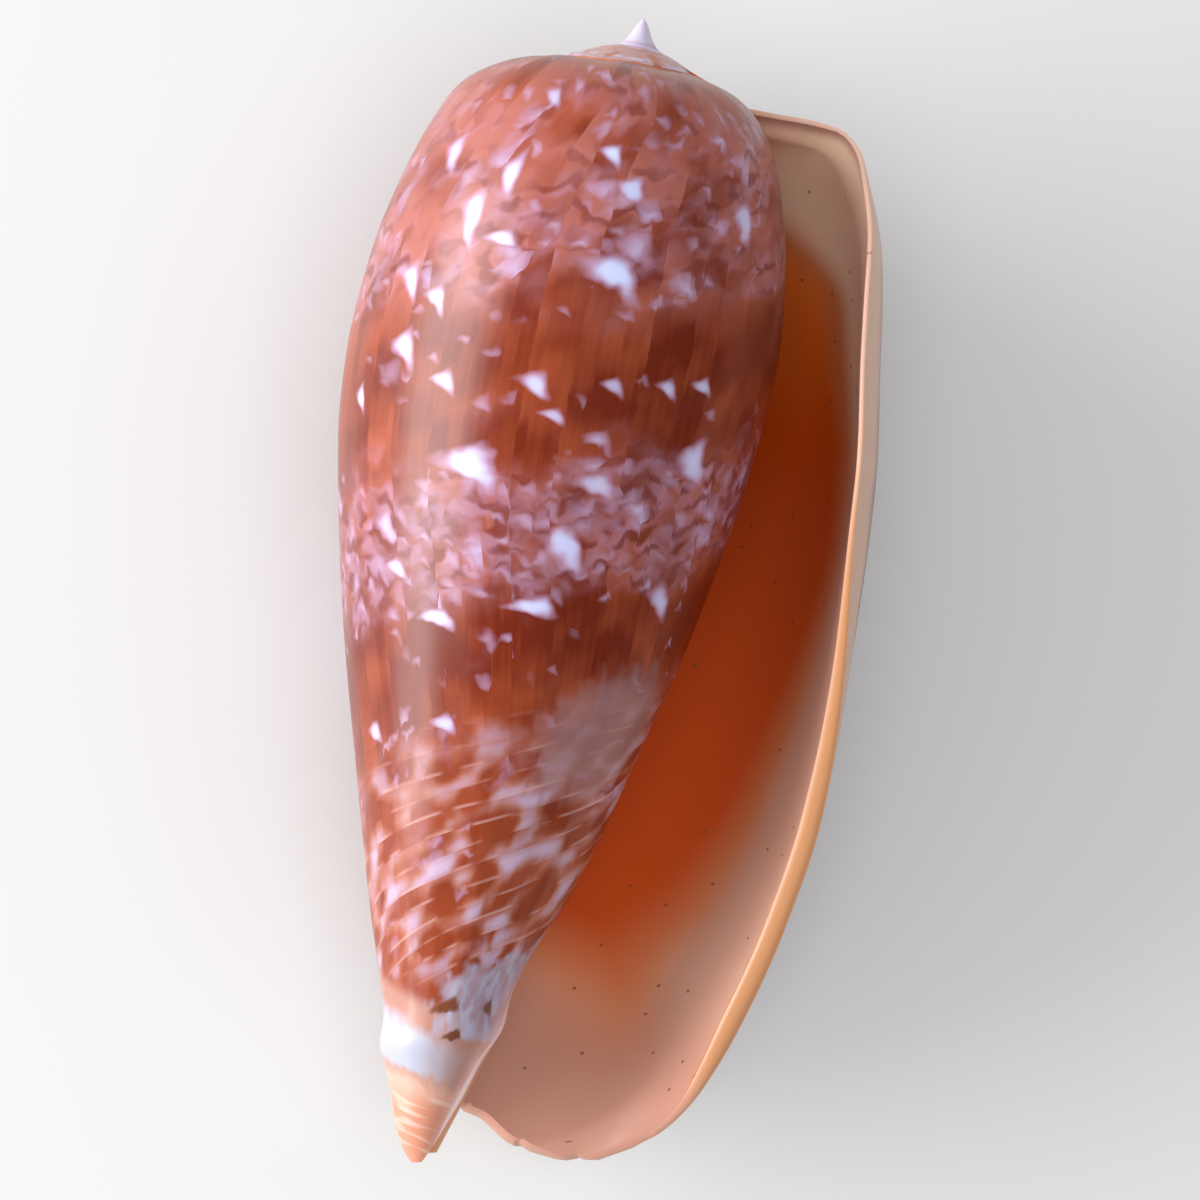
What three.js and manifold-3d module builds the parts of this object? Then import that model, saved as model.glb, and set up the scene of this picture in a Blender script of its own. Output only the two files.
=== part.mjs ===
// Cone shell, a right-handed sea-snail shell of the inflated, wide-mouthed kind.
// The whole shell is one solid: a thin coiled wall, whose last half turn flares out into
// the lip, wound on a solid core that carries the low spire and ends in a narrow tongue.
//
// Shell frame, used by every function up to the last section, in millimetres:
//   the coiling axis is Z, with the apex at the top and the tip of the tongue at Z = 0;
//   the mouth faces -Y, and X runs towards the lip.
// "turn" is the angle of growth in radians, 0 at the front and growing through the left
// side, the back and the right side to the lip. Earlier whorls have a turn below -PI / 2.
// "level" runs down a growth line: it is the height on the flank, and above CROWN_LEVEL
// it counts on over the shoulder and the ramp to the suture.

import * as THREE from 'three';
import Module from 'manifold-3d';
import { mergeVertices } from 'three/addons/utils/BufferGeometryUtils.js';

const RIGHT_ANGLE = Math.PI / 2;
const FULL_TURN = 2 * Math.PI;

// Driving dimensions.
const SHELL_LENGTH = 62;
const SUTURE_LEVEL = 61;
const CROWN_LEVEL = 56;
const WALL = 1.15;
const LIP_EDGE_TOP = 0.35;
const LIP_EDGE_BASE = 1.1;
const LIP_TAPER = 0.35;
const THICKEST_SHARE = 0.4;
const LIP_FOOT_LEVEL = 1.6;

// The hollow reaches from the lip back to HOLLOW_END, a turn close to the front, where
// the core swells out to the wall within HOLLOW_CLOSING radians. The wall goes on from
// the lip past the front and into the mouth, and ends out of sight in that swelling.
const HOLLOW_END = 0.4;
const HOLLOW_CLOSING = 0.4;
const WALL_START = HOLLOW_END + 0.12 - FULL_TURN;
const CORE_COVER = 0.45;

// The core: its foot inside the tongue, and the pillar below the wall's margin.
const CORE_FOOT = 0.6;
const PILLAR_FOOT_RADIUS = 0.45;
const PILLAR_SLOPE = 0.3;
const SUTURE_SWITCH = -1.2;

// Rest pose: the shell lies on its back, mouth up, on a small worn flat.
const REST_ROLL = THREE.MathUtils.degToRad(-6);
const REST_PITCH = THREE.MathUtils.degToRad(-4.5);
const REST_FLAT_DEPTH = 0.25;
const GROUND_DEPTH = 10;

// Mesh fineness.
const WALL_COLUMNS = 84;
const WALL_ROWS = 25;
const CORE_SIDES = 44;
const CORE_ROWS = 20;
const SPIRE_ROWS = 7;

// Growth lines: radius by level, on the right side before the mouth (turn -PI / 2), on
// the left side (turn PI / 2) and at the lip (turn 3 PI / 2).
const rightRadius = smoothCurve([
  [0, 0.5], [2, 1.0], [5, 1.9], [8, 2.45], [12, 3.6], [16, 5.2], [24, 7.3],
  [32, 9.0], [40, 10.1], [45, 10.4], [50, 9.9], [54, 8.9], [56, 8.15],
  [57, 7.5], [58, 6.6], [59, 5.6], [60, 4.4], [61, 3.05],
]);
const leftRadius = smoothCurve([
  [0, 0.8], [2, 1.85], [5, 2.75], [8, 3.6], [12, 5.0], [20, 7.4], [28, 9.7],
  [34, 11.15], [39, 12.0], [42.5, 12.2], [47, 11.9], [52, 10.9], [56, 9.4],
  [57, 8.7], [58, 7.5], [59, 6.4], [60, 5.2], [61, 4.0],
]);
const lipRadius = smoothCurve([
  [0, 11.8], [5, 13.4], [10, 15.1], [16, 16.5], [22, 17.3], [26, 17.4], [34, 17.1],
  [40, 16.7], [46, 15.8], [52, 14.75], [56, 13.2],
  [57, 12.5], [58, 11.2], [59, 9.2], [60, 7.0], [61, 5.1],
]);

// Height of the crown by level, for the same three growth lines.
const rightCrown = smoothCurve([[56, 56], [57, 57.1], [58, 58.1], [59, 58.75], [60, 59.15], [61, 59.45]]);
const leftCrown = smoothCurve([[56, 56], [57, 57.0], [58, 57.95], [59, 58.5], [60, 58.85], [61, 58.95]]);
const lipCrown = smoothCurve([[56, 56], [57, 57.25], [58, 58.25], [59, 58.5], [60, 58.55], [61, 58.6]]);

// Turn of the lip's edge by level: it bows forward in the middle, and is notched back
// on the ramp and at the lower end.
const lipTurn = smoothCurve([
  [1.6, 4.25], [3, 4.48], [6, 4.68], [12, 4.74], [20, 4.82], [28, 4.97], [38, 5.13],
  [48, 5.12], [54, 5.02], [57, 4.86], [58.5, 4.6], [60, 4.15], [61, 3.8],
]);

// Height of the lower margin by turn: along the foot of the lip, round the notch, down
// to the tongue and up again along its right edge into the mouth.
const marginHeight = smoothCurve([
  [-4.3, 17], [-3.1, 14], [-1.95, 9.4], [-1.4, 6.3], [-0.95, 3.4], [-0.45, 1.1], [0.1, 0.15],
  [0.9, 0.05], [1.6, 0.5], [2.4, 2.0], [3.1, 2.95], [3.5, 2.5], [3.8, 1.35], [4.05, 1.1], [4.25, 1.55],
]);

// The suture's distance from the axis by turn, and the spire's height by radius.
const sutureRadius = smoothCurve([[-7.9, 1.3], [-4.7, 2.2], [-1.57, 3.05], [1.57, 4.0], [4.71, 5.1]]);
const spireHeight = smoothCurve([
  [0, 62], [0.35, 61.5], [0.62, 60.95], [1.0, 60.45], [2.15, 60.02], [3.1, 59.55], [4.2, 59.15], [5.4, 58.85],
]);

/** A function through the given [x, y] points, monotone between each two of them. */
function smoothCurve(points) {
  const slopes = [];
  for (let i = 0; i < points.length - 1; i++) {
    slopes.push((points[i + 1][1] - points[i][1]) / (points[i + 1][0] - points[i][0]));
  }
  const tangents = points.map((_, i) => {
    const before = slopes[Math.max(i - 1, 0)];
    const after = slopes[Math.min(i, slopes.length - 1)];
    return before * after <= 0 ? 0 : (2 * before * after) / (before + after);
  });
  return (x) => {
    const first = points[0];
    const last = points[points.length - 1];
    if (x <= first[0]) return first[1] + tangents[0] * (x - first[0]);
    if (x >= last[0]) return last[1] + tangents[points.length - 1] * (x - last[0]);
    let i = 0;
    while (x > points[i + 1][0]) i++;
    const width = points[i + 1][0] - points[i][0];
    const s = (x - points[i][0]) / width;
    const rise = s * s * (3 - 2 * s);
    const early = s * (1 - s) * (1 - s);
    const late = s * s * (1 - s);
    return points[i][1] * (1 - rise) + points[i + 1][1] * rise
      + width * (early * tangents[i] - late * tangents[i + 1]);
  };
}

const mix = (a, b, share) => a + (b - a) * share;

const smoothShare = (x) => THREE.MathUtils.smoothstep(x, 0, 1);

/** A point of the outer surface as distance from the axis and height. */
function surface(turn, level) {
  const x = (turn - RIGHT_ANGLE) / Math.PI;
  const flare = smoothShare(x);
  const left = leftRadius(level);
  const growth = Math.log(left / rightRadius(level));
  const opening = Math.log(lipRadius(level) / left) - growth;
  const radius = left * Math.exp(growth * x + opening * flare);
  let height = level;
  if (level > CROWN_LEVEL) {
    const rise = leftCrown(level) - rightCrown(level);
    const earlier = Math.max(x, -1);
    height = leftCrown(level) + rise * earlier + (lipCrown(level) - leftCrown(level) - rise) * flare;
  }
  const tuck = Math.max(0, -1.85 - turn) * 1.4 * THREE.MathUtils.smoothstep(level, 48, 57);
  const ridge = 0.45 * Math.exp(-(((level - 6.9 + 0.75 * turn) / 1.25) ** 2)) * (1 - smoothShare((turn - 1.3) / 2));
  return { radius: radius + ridge, height: height - tuck };
}

function pointAt(radius, turn, height) {
  return new THREE.Vector3(-Math.sin(turn) * radius, -Math.cos(turn) * radius, height);
}

function outerPoint(turn, level) {
  const { radius, height } = surface(turn, level);
  return pointAt(radius, turn, height);
}

/** The outward normal of the outer surface. */
function outwardNormal(turn, level) {
  const step = 0.02;
  const along = outerPoint(turn + step, level).sub(outerPoint(turn - step, level));
  const upward = outerPoint(turn, level + step * 4).sub(outerPoint(turn, level - step * 4));
  return upward.cross(along).normalize();
}

/** How far down a growth line a row lies, closer together at the crown and the margin. */
function rowShare(row) {
  const share = row / WALL_ROWS;
  return mix(share, smoothShare(share), 0.5);
}

/** The turn of a wall column: columns run alongside the lip and close up towards it. */
function columnTurn(column, share) {
  const edge = lipTurn(mix(SUTURE_LEVEL, LIP_FOOT_LEVEL, share));
  return mix(edge, WALL_START, (column / WALL_COLUMNS) ** 1.25);
}

function wallThickness(turn, edgeTurn, point) {
  const edge = mix(LIP_EDGE_BASE, LIP_EDGE_TOP, THREE.MathUtils.smoothstep(point.z, 20, 40));
  const wall = mix(edge, WALL, smoothShare((edgeTurn - turn) / LIP_TAPER));
  return Math.min(wall, Math.hypot(point.x, point.y) * THICKEST_SHARE);
}

/** The coiled wall: an outer and an inner sheet, joined round their border. */
function coiledWall() {
  const outer = [];
  const inner = [];
  for (let row = 0; row <= WALL_ROWS; row++) {
    const share = rowShare(row);
    const edgeTurn = columnTurn(0, share);
    for (let column = 0; column <= WALL_COLUMNS; column++) {
      const turn = columnTurn(column, share);
      const level = mix(SUTURE_LEVEL, marginHeight(turn), share);
      const point = outerPoint(turn, level);
      const thickness = wallThickness(turn, edgeTurn, point);
      outer.push(point);
      inner.push(point.clone().addScaledVector(outwardNormal(turn, level), -thickness));
    }
  }
  const faces = [];
  const quad = (a, b, c, d) => faces.push(a, b, c, a, c, d);
  const at = (row, column) => row * (WALL_COLUMNS + 1) + column;
  for (let row = 0; row < WALL_ROWS; row++) {
    for (let column = 0; column < WALL_COLUMNS; column++) {
      const corners = [at(row, column), at(row + 1, column), at(row + 1, column + 1), at(row, column + 1)];
      quad(...corners);
      quad(...corners.map((corner) => corner + outer.length).reverse());
    }
  }
  const border = wallBorder(at);
  border.forEach((corner, i) => {
    const next = border[(i + 1) % border.length];
    quad(corner, next, next + outer.length, corner + outer.length);
  });
  return { points: [...outer, ...inner], faces };
}

/** The outer sheet's border: suture, inner end, lower margin and lip. */
function wallBorder(at) {
  const border = [];
  for (let column = 0; column < WALL_COLUMNS; column++) border.push(at(0, column));
  for (let row = 0; row < WALL_ROWS; row++) border.push(at(row, WALL_COLUMNS));
  for (let column = WALL_COLUMNS; column > 0; column--) border.push(at(WALL_ROWS, column));
  for (let row = WALL_ROWS; row > 0; row--) border.push(at(row, 0));
  return border;
}

/** The solid core: the spire, the inner whorls and the tongue, a star round the axis. */
function core() {
  const points = [];
  const rows = SPIRE_ROWS + CORE_ROWS;
  for (let side = 0; side < CORE_SIDES; side++) {
    const turn = HOLLOW_END - FULL_TURN + (FULL_TURN * side) / CORE_SIDES;
    for (let row = 0; row < SPIRE_ROWS; row++) points.push(spirePoint(turn, row));
    for (let row = 0; row < CORE_ROWS; row++) points.push(corePoint(turn, row));
  }
  const apex = points.push(new THREE.Vector3(0, 0, SHELL_LENGTH)) - 1;
  const foot = points.push(new THREE.Vector3(0.25, 0, CORE_FOOT)) - 1;
  const faces = [];
  for (let side = 0; side < CORE_SIDES; side++) {
    const here = side * rows;
    const next = ((side + 1) % CORE_SIDES) * rows;
    faces.push(apex, next, here);
    faces.push(foot, here + rows - 1, next + rows - 1);
    for (let row = 0; row < rows - 1; row++) {
      faces.push(here + row, next + row, next + row + 1);
      faces.push(here + row, next + row + 1, here + row + 1);
    }
  }
  return { points, faces };
}

/** A point of the spire, which reaches out to the suture of the whorl around it. */
function spirePoint(turn, row) {
  const lastWhorlTurn = turn < SUTURE_SWITCH ? turn + FULL_TURN : turn;
  const rim = sutureRadius(lastWhorlTurn) + 0.12;
  const radius = rim * ((row + 1) / SPIRE_ROWS) ** 1.6;
  return pointAt(radius, turn, spireHeight(radius));
}

/**
 * A point of the core below the spire. It lies just inside the outer surface: that of the
 * earlier whorl round the hollow, and that of the last whorl where the hollow has closed.
 */
function corePoint(turn, row) {
  const share = (row + 0.35) / (CORE_ROWS - 0.65);
  const level = mix(60.4, CORE_FOOT + 0.15, share);
  const earlier = surface(turn, level);
  const later = surface(turn + FULL_TURN, level);
  const closed = 1 - smoothShare((turn - WALL_START + 0.3) / HOLLOW_CLOSING);
  const cover = Math.min(WALL, mix(earlier.radius, later.radius, closed) * THICKEST_SHARE) * CORE_COVER;
  const whorl = mix(earlier.radius, later.radius, closed) - cover;
  const height = mix(earlier.height, later.height, closed) - (level > CROWN_LEVEL ? cover : 0);
  const pillar = PILLAR_FOOT_RADIUS + PILLAR_SLOPE * Math.min(height, 8);
  const margin = marginHeight(turn) + 0.7;
  const covered = THREE.MathUtils.smoothstep(height, margin, margin + 1.5);
  return pointAt(mix(pillar, Math.max(whorl, pillar / 2), covered), turn, height);
}

function toSolid({ points, faces }) {
  return new wasm.Manifold(new wasm.Mesh({
    numProp: 3,
    vertProperties: new Float32Array(points.flatMap((point) => point.toArray())),
    triVerts: new Uint32Array(faces),
  }));
}

function toGeometry(solid) {
  const { vertProperties, triVerts } = solid.getMesh();
  const geometry = new THREE.BufferGeometry();
  geometry.setAttribute('position', new THREE.BufferAttribute(new Float32Array(vertProperties), 3));
  geometry.setIndex(new THREE.BufferAttribute(new Uint32Array(triVerts), 1));
  return geometry;
}

/** The points and faces of a geometry, with the vertices that share a place merged. */
function toShape(geometry) {
  geometry.deleteAttribute('normal');
  geometry.deleteAttribute('uv');
  const merged = mergeVertices(geometry);
  const points = [];
  for (let i = 0; i < merged.attributes.position.count; i++) {
    points.push(new THREE.Vector3().fromBufferAttribute(merged.attributes.position, i));
  }
  return { points, faces: [...merged.index.array] };
}

/** Lays the shell on its back, centred over the origin and sunk by its flat's depth. */
function layDown(geometry) {
  geometry.rotateX(-RIGHT_ANGLE).rotateY(REST_ROLL).rotateX(-REST_PITCH);
  geometry.computeBoundingBox();
  const centre = geometry.boundingBox.getCenter(new THREE.Vector3());
  return geometry.translate(-centre.x, -centre.y, -geometry.boundingBox.min.z - REST_FLAT_DEPTH);
}

/** The whole shell in its rest pose, cut level where it meets the resting surface. */
function restingShell() {
  const upright = toSolid(coiledWall()).add(toSolid(core()));
  const laid = toSolid(toShape(layDown(toGeometry(upright))));
  const ground = new THREE.BoxGeometry(SHELL_LENGTH, 2 * SHELL_LENGTH, GROUND_DEPTH);
  ground.translate(0, 0, -GROUND_DEPTH / 2);
  const geometry = toGeometry(laid.subtract(toSolid(toShape(ground))));
  geometry.computeVertexNormals();
  return geometry;
}

const wasm = await Module();
wasm.setup();

const shell = new THREE.Mesh(
  restingShell(),
  new THREE.MeshStandardMaterial({ color: 0xa8593c, roughness: 0.3, metalness: 0 }),
);
shell.name = 'cone_shell';

const model = new THREE.Group();
model.add(shell);
export default model;
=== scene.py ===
"""Cone shell: the finished look of one shell, laid out as a small Blender add-on.

The shell's own frame, in millimetres, is the one its shape is written in: the coiling axis
is Z with the apex at the top, the mouth faces -Y and the lip lies towards X. "turn" is the
angle of growth, 0 at the front and growing through the left side and the back to the lip.
"level" runs down a growth line: it is the height on the flank, and above CROWN_LEVEL it
counts on over the shoulder and the ramp to the suture.
"""

import math

import bpy
import numpy as np
from bpy.props import FloatProperty, IntProperty, PointerProperty
from mathutils import Matrix, Vector


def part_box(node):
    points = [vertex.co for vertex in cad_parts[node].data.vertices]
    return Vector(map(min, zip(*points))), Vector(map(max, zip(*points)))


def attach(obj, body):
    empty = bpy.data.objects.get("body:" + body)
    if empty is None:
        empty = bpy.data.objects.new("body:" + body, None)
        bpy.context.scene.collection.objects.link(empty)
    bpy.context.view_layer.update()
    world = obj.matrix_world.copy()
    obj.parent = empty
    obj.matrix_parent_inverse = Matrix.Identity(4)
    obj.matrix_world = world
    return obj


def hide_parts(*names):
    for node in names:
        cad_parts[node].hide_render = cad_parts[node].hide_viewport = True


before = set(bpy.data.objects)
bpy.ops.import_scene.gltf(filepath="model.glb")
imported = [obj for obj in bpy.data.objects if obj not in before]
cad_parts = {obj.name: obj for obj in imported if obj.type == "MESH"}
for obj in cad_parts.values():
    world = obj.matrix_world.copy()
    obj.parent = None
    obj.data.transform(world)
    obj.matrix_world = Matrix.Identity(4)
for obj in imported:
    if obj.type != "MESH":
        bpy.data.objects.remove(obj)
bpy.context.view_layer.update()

bl_info = {
    "name": "Cone Shell",
    "version": (1, 0, 0),
    "blender": (4, 5, 0),
    "location": "3D View > Sidebar > Shell",
    "description": "Builds a patterned cone shell, its floor, light and camera",
    "category": "Add Mesh",
}

MM = 0.001
RIGHT_ANGLE = math.pi / 2
FULL_TURN = 2 * math.pi

# The shell's driving dimensions, in millimetres and radians.
SHELL_LENGTH = 62.0
SUTURE_LEVEL = 61.0
CROWN_LEVEL = 56.0
WALL = 1.15
LIP_EDGE_TOP = 0.25
LIP_EDGE_BASE = 1.1
LIP_TAPER = 0.35
THICKEST_SHARE = 0.4
LIP_FOOT_LEVEL = 1.6
HOLLOW_END = 0.4
HOLLOW_CLOSING = 0.4
WALL_START = HOLLOW_END + 0.12 - FULL_TURN
CORE_COVER = 0.45
CORE_FOOT = 0.6
PILLAR_FOOT_RADIUS = 0.45
PILLAR_SLOPE = 0.3
SUTURE_SWITCH = -1.2
FOLD_LEVEL = 6.9
FOLD_SLOPE = 0.75
REST_WAVE = 0.03
REST_ROLL = math.radians(-6)
REST_PITCH = math.radians(-4.5)
REST_FLAT_DEPTH = 0.25

# Where the camera aims, from the middle of the shell's box, in millimetres.
AIM_RIGHT = 1.09
AIM_UP = 0.03

# Radius in millimetres at which the markings along the growth keep their true length.
GROWTH_RADIUS = 10.5

# The markings, in millimetres: the size of the scattered tents, the spacing of the base's
# cords, the worn place, and how far into the mouth the lining's change of colour may lie.
SMALL_TENT = (1.5, 1.15)
MIDDLE_TENT = (2.9, 2.3)
TENT_SPREAD = 0.85
CORD_SPACING = 1.12
WORN_GROWTH = -5.5
WORN_LENGTH = 6.5
WORN_SPIRAL = 22.0
WORN_WIDTH = 4.2
LINING_REACH = 25.0
BLOTCHES_PER_METRE = 900.0
OUTER_POLISH = 0.42
INNER_POLISH = 0.1

# The large tents of the front, given one by one: millimetres to the right of the axis as seen
# from the front, height, length along the growth, width and brightness.
LARGE_TENTS = [
    (0.6, 47.7, 2.6, 2.2, 1.0), (-4.9, 36.6, 2.9, 2.0, 1.0), (6.7, 39.1, 1.7, 2.3, 0.7),
    (0.9, 33.5, 1.8, 2.4, 0.8), (6.4, 31.8, 1.3, 1.8, 0.6), (-0.2, 30.1, 2.2, 1.0, 0.8),
    (-4.8, 28.6, 1.6, 1.0, 0.9), (1.85, 36.9, 2.0, 1.2, 0.6), (-5.3, 52.0, 1.0, 2.0, 0.8),
    (-6.9, 49.5, 1.2, 2.4, 0.9), (-9.4, 45.8, 1.3, 1.8, 1.0), (-7.9, 44.9, 1.1, 1.3, 0.9),
    (-9.1, 42.1, 1.5, 1.7, 0.9), (-6.7, 40.7, 1.2, 1.0, 0.8), (-2.1, 41.4, 1.4, 1.2, 0.7),
    (2.0, 42.1, 1.0, 0.9, 0.5), (4.75, 42.6, 1.0, 1.0, 0.6), (6.5, 43.0, 1.0, 0.9, 0.6),
    (-0.8, 40.0, 1.0, 0.7, 0.5), (-10.8, 39.3, 0.9, 1.3, 0.9), (-7.3, 38.6, 1.1, 1.0, 0.8),
    (-0.4, 53.9, 1.0, 1.0, 1.0), (0.9, 52.2, 1.2, 1.3, 0.8), (-3.9, 56.4, 0.9, 0.8, 0.6),
    (-8.4, 52.7, 1.2, 1.5, 0.6), (-5.2, 48.5, 1.6, 0.8, 0.8), (-3.3, 46.1, 1.6, 0.9, 0.6),
    (7.0, 51.9, 1.2, 2.2, 0.6), (6.6, 46.8, 1.1, 1.6, 0.5), (-7.3, 30.8, 1.2, 1.0, 0.7),
    (-3.35, 23.3, 1.0, 1.0, 0.7), (-6.8, 22.1, 1.0, 1.0, 0.7),
]

# Dark spots above the fold, in the same terms, with brightness below zero.
DARK_SPOTS = [
    (-0.5, 8.5, 1.3, 0.9, -1.0), (0.1, 7.1, 1.0, 0.7, -1.0), (1.8, 8.9, 0.6, 0.9, -0.9),
    (2.3, 11.0, 1.3, 0.7, -0.9), (1.2, 11.2, 1.2, 0.6, -0.8),
]

# Layers that hold the tents and spots, so that near neighbours don't share one.
TENT_LAYERS = 3


# ---------------------------------------------------------------------------- shape


def smooth_curve(points):
    """A function through the given points, monotone between each two of them."""
    xs, ys = np.array(points, float).T
    widths = np.diff(xs)
    slopes = np.diff(ys) / widths
    tangents = np.concatenate([slopes[:1], np.zeros(len(xs) - 2), slopes[-1:]])
    product = slopes[:-1] * slopes[1:]
    total = np.where(product > 0, slopes[:-1] + slopes[1:], 1.0)
    tangents[1:-1] = np.where(product > 0, 2 * product / total, 0.0)

    def curve(x):
        x = np.asarray(x, float)
        inside = np.clip(x, xs[0], xs[-1])
        i = np.clip(np.searchsorted(xs, inside) - 1, 0, len(widths) - 1)
        s = (inside - xs[i]) / widths[i]
        rise = s * s * (3 - 2 * s)
        bend = s * (1 - s) ** 2 * tangents[i] - s * s * (1 - s) * tangents[i + 1]
        beyond = tangents[0] * np.minimum(x - xs[0], 0) + tangents[-1] * np.maximum(x - xs[-1], 0)
        return ys[i] * (1 - rise) + ys[i + 1] * rise + widths[i] * bend + beyond

    return curve


# Growth lines: radius by level, on the right side before the mouth (turn -pi / 2), on the
# left side (turn pi / 2) and at the lip (turn 3 pi / 2).
right_radius = smooth_curve([
    (0, 0.5), (2, 1.0), (5, 1.9), (8, 2.45), (12, 3.6), (16, 5.2), (24, 7.3),
    (32, 9.0), (40, 10.1), (45, 10.4), (50, 9.9), (54, 8.9), (56, 8.15),
    (57, 7.5), (58, 6.6), (59, 5.6), (60, 4.4), (61, 3.05),
])
left_radius = smooth_curve([
    (0, 0.8), (2, 1.85), (5, 2.75), (8, 3.6), (12, 5.0), (20, 7.4), (28, 9.7),
    (34, 11.15), (39, 12.0), (42.5, 12.2), (47, 11.9), (52, 10.9), (56, 9.4),
    (57, 8.7), (58, 7.5), (59, 6.4), (60, 5.2), (61, 4.0),
])
lip_radius = smooth_curve([
    (0, 11.8), (5, 13.4), (10, 15.1), (16, 16.5), (22, 17.3), (26, 17.4), (34, 17.1),
    (40, 16.7), (46, 15.8), (52, 14.75), (56, 13.2),
    (57, 12.5), (58, 11.2), (59, 9.2), (60, 7.0), (61, 5.1),
])

# Height of the crown by level, for the same three growth lines.
right_crown = smooth_curve([(56, 56), (57, 57.1), (58, 58.1), (59, 58.75), (60, 59.15), (61, 59.45)])
left_crown = smooth_curve([(56, 56), (57, 57.0), (58, 57.95), (59, 58.5), (60, 58.85), (61, 58.95)])
lip_crown = smooth_curve([(56, 56), (57, 57.25), (58, 58.25), (59, 58.5), (60, 58.55), (61, 58.6)])

# Turn of the lip's edge by level, and height of the lower margin by turn.
lip_turn = smooth_curve([
    (1.6, 4.25), (3, 4.48), (6, 4.68), (12, 4.74), (20, 4.82), (28, 4.97), (38, 5.13),
    (48, 5.12), (54, 5.02), (57, 4.86), (58.5, 4.6), (60, 4.15), (61, 3.8),
])
margin_height = smooth_curve([
    (-4.3, 17), (-3.1, 14), (-1.95, 9.4), (-1.4, 6.3), (-0.95, 3.4), (-0.45, 1.1), (0.1, 0.15),
    (0.9, 0.05), (1.6, 0.5), (2.4, 2.0), (3.1, 2.95), (3.5, 2.5), (3.8, 1.35), (4.05, 1.1), (4.25, 1.55),
])

# How far a spiral line descends in one radian of growth, by its height at the front.
descent = smooth_curve([
    (0, 1.0), (8, 2.2), (16, 3.4), (26, 2.9), (38, 2.4), (48, 1.9), (54, 0.8), (58, 0), (61, 0),
])

# The suture's distance from the axis by turn, and the spire's height by radius.
suture_radius = smooth_curve([(-7.9, 1.3), (-4.7, 2.2), (-1.57, 3.05), (1.57, 4.0), (4.71, 5.1)])
spire_height = smooth_curve([
    (0, 62), (0.35, 61.5), (0.62, 60.95), (1.0, 60.45), (2.15, 60.02), (3.1, 59.55),
    (4.2, 59.15), (5.4, 58.85),
])


def mix(a, b, share):
    return a + (b - a) * share


def smooth_share(x):
    x = np.clip(x, 0, 1)
    return x * x * (3 - 2 * x)


def smooth_step(x, low, high):
    return smooth_share((x - low) / (high - low))


def polar(radius, turn, height):
    """Points from their distance from the axis, turn and height."""
    return np.stack([-np.sin(turn) * radius, -np.cos(turn) * radius, height + 0 * radius], axis=-1)


def surface(turn, level):
    """Distance from the axis and height of the outer surface."""
    x = (turn - RIGHT_ANGLE) / math.pi
    flare = smooth_share(x)
    left = left_radius(level)
    growth = np.log(left / right_radius(level))
    opening = np.log(lip_radius(level) / left) - growth
    radius = left * np.exp(growth * x + opening * flare)
    rise = left_crown(level) - right_crown(level)
    crown = left_crown(level) + rise * np.maximum(x, -1)
    crown = crown + (lip_crown(level) - left_crown(level) - rise) * flare
    height = np.where(level > CROWN_LEVEL, crown, level)
    tuck = np.maximum(0, -1.85 - turn) * 1.4 * smooth_step(level, 48, 57)
    fold = np.exp(-(((level - FOLD_LEVEL + FOLD_SLOPE * turn) / 1.25) ** 2))
    ridge = 0.45 * fold * (1 - smooth_share((turn - 1.3) / 2))
    return radius + ridge, height - tuck


def spiral_level(turn, level):
    """The height at the front of the spiral line through a point."""
    line = level + 0 * turn
    for _ in range(12):
        line = 0.5 * line + 0.5 * (level + descent(line) * turn)
    return line


def outer_points(turn, level):
    radius, height = surface(turn, level)
    return polar(radius, turn, height)


def outward_normals(turn, level):
    step = 0.02
    along = outer_points(turn + step, level) - outer_points(turn - step, level)
    upward = outer_points(turn, level + 4 * step) - outer_points(turn, level - 4 * step)
    normals = np.cross(upward, along)
    return normals / np.linalg.norm(normals, axis=-1, keepdims=True)


def relief(turn, level):
    """How far the surface stands off its smooth form: the rests in its growth."""
    growth = turn - lip_turn(np.minimum(level, CROWN_LEVEL))
    rests = REST_WAVE * np.sin(growth * 7.3 + 0.6 * np.sin(growth * 2.9)) + 0.02 * np.sin(growth * 17.1 + 1.3)
    return rests * smooth_step(level, 3, 12)


def flat_values(value, shape):
    """One value, or one vector, for each point of a block."""
    value = np.asarray(value, float)
    if value.ndim == len(shape) + 1:
        return value.reshape(-1, 3)
    return np.broadcast_to(value, shape).ravel()


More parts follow.
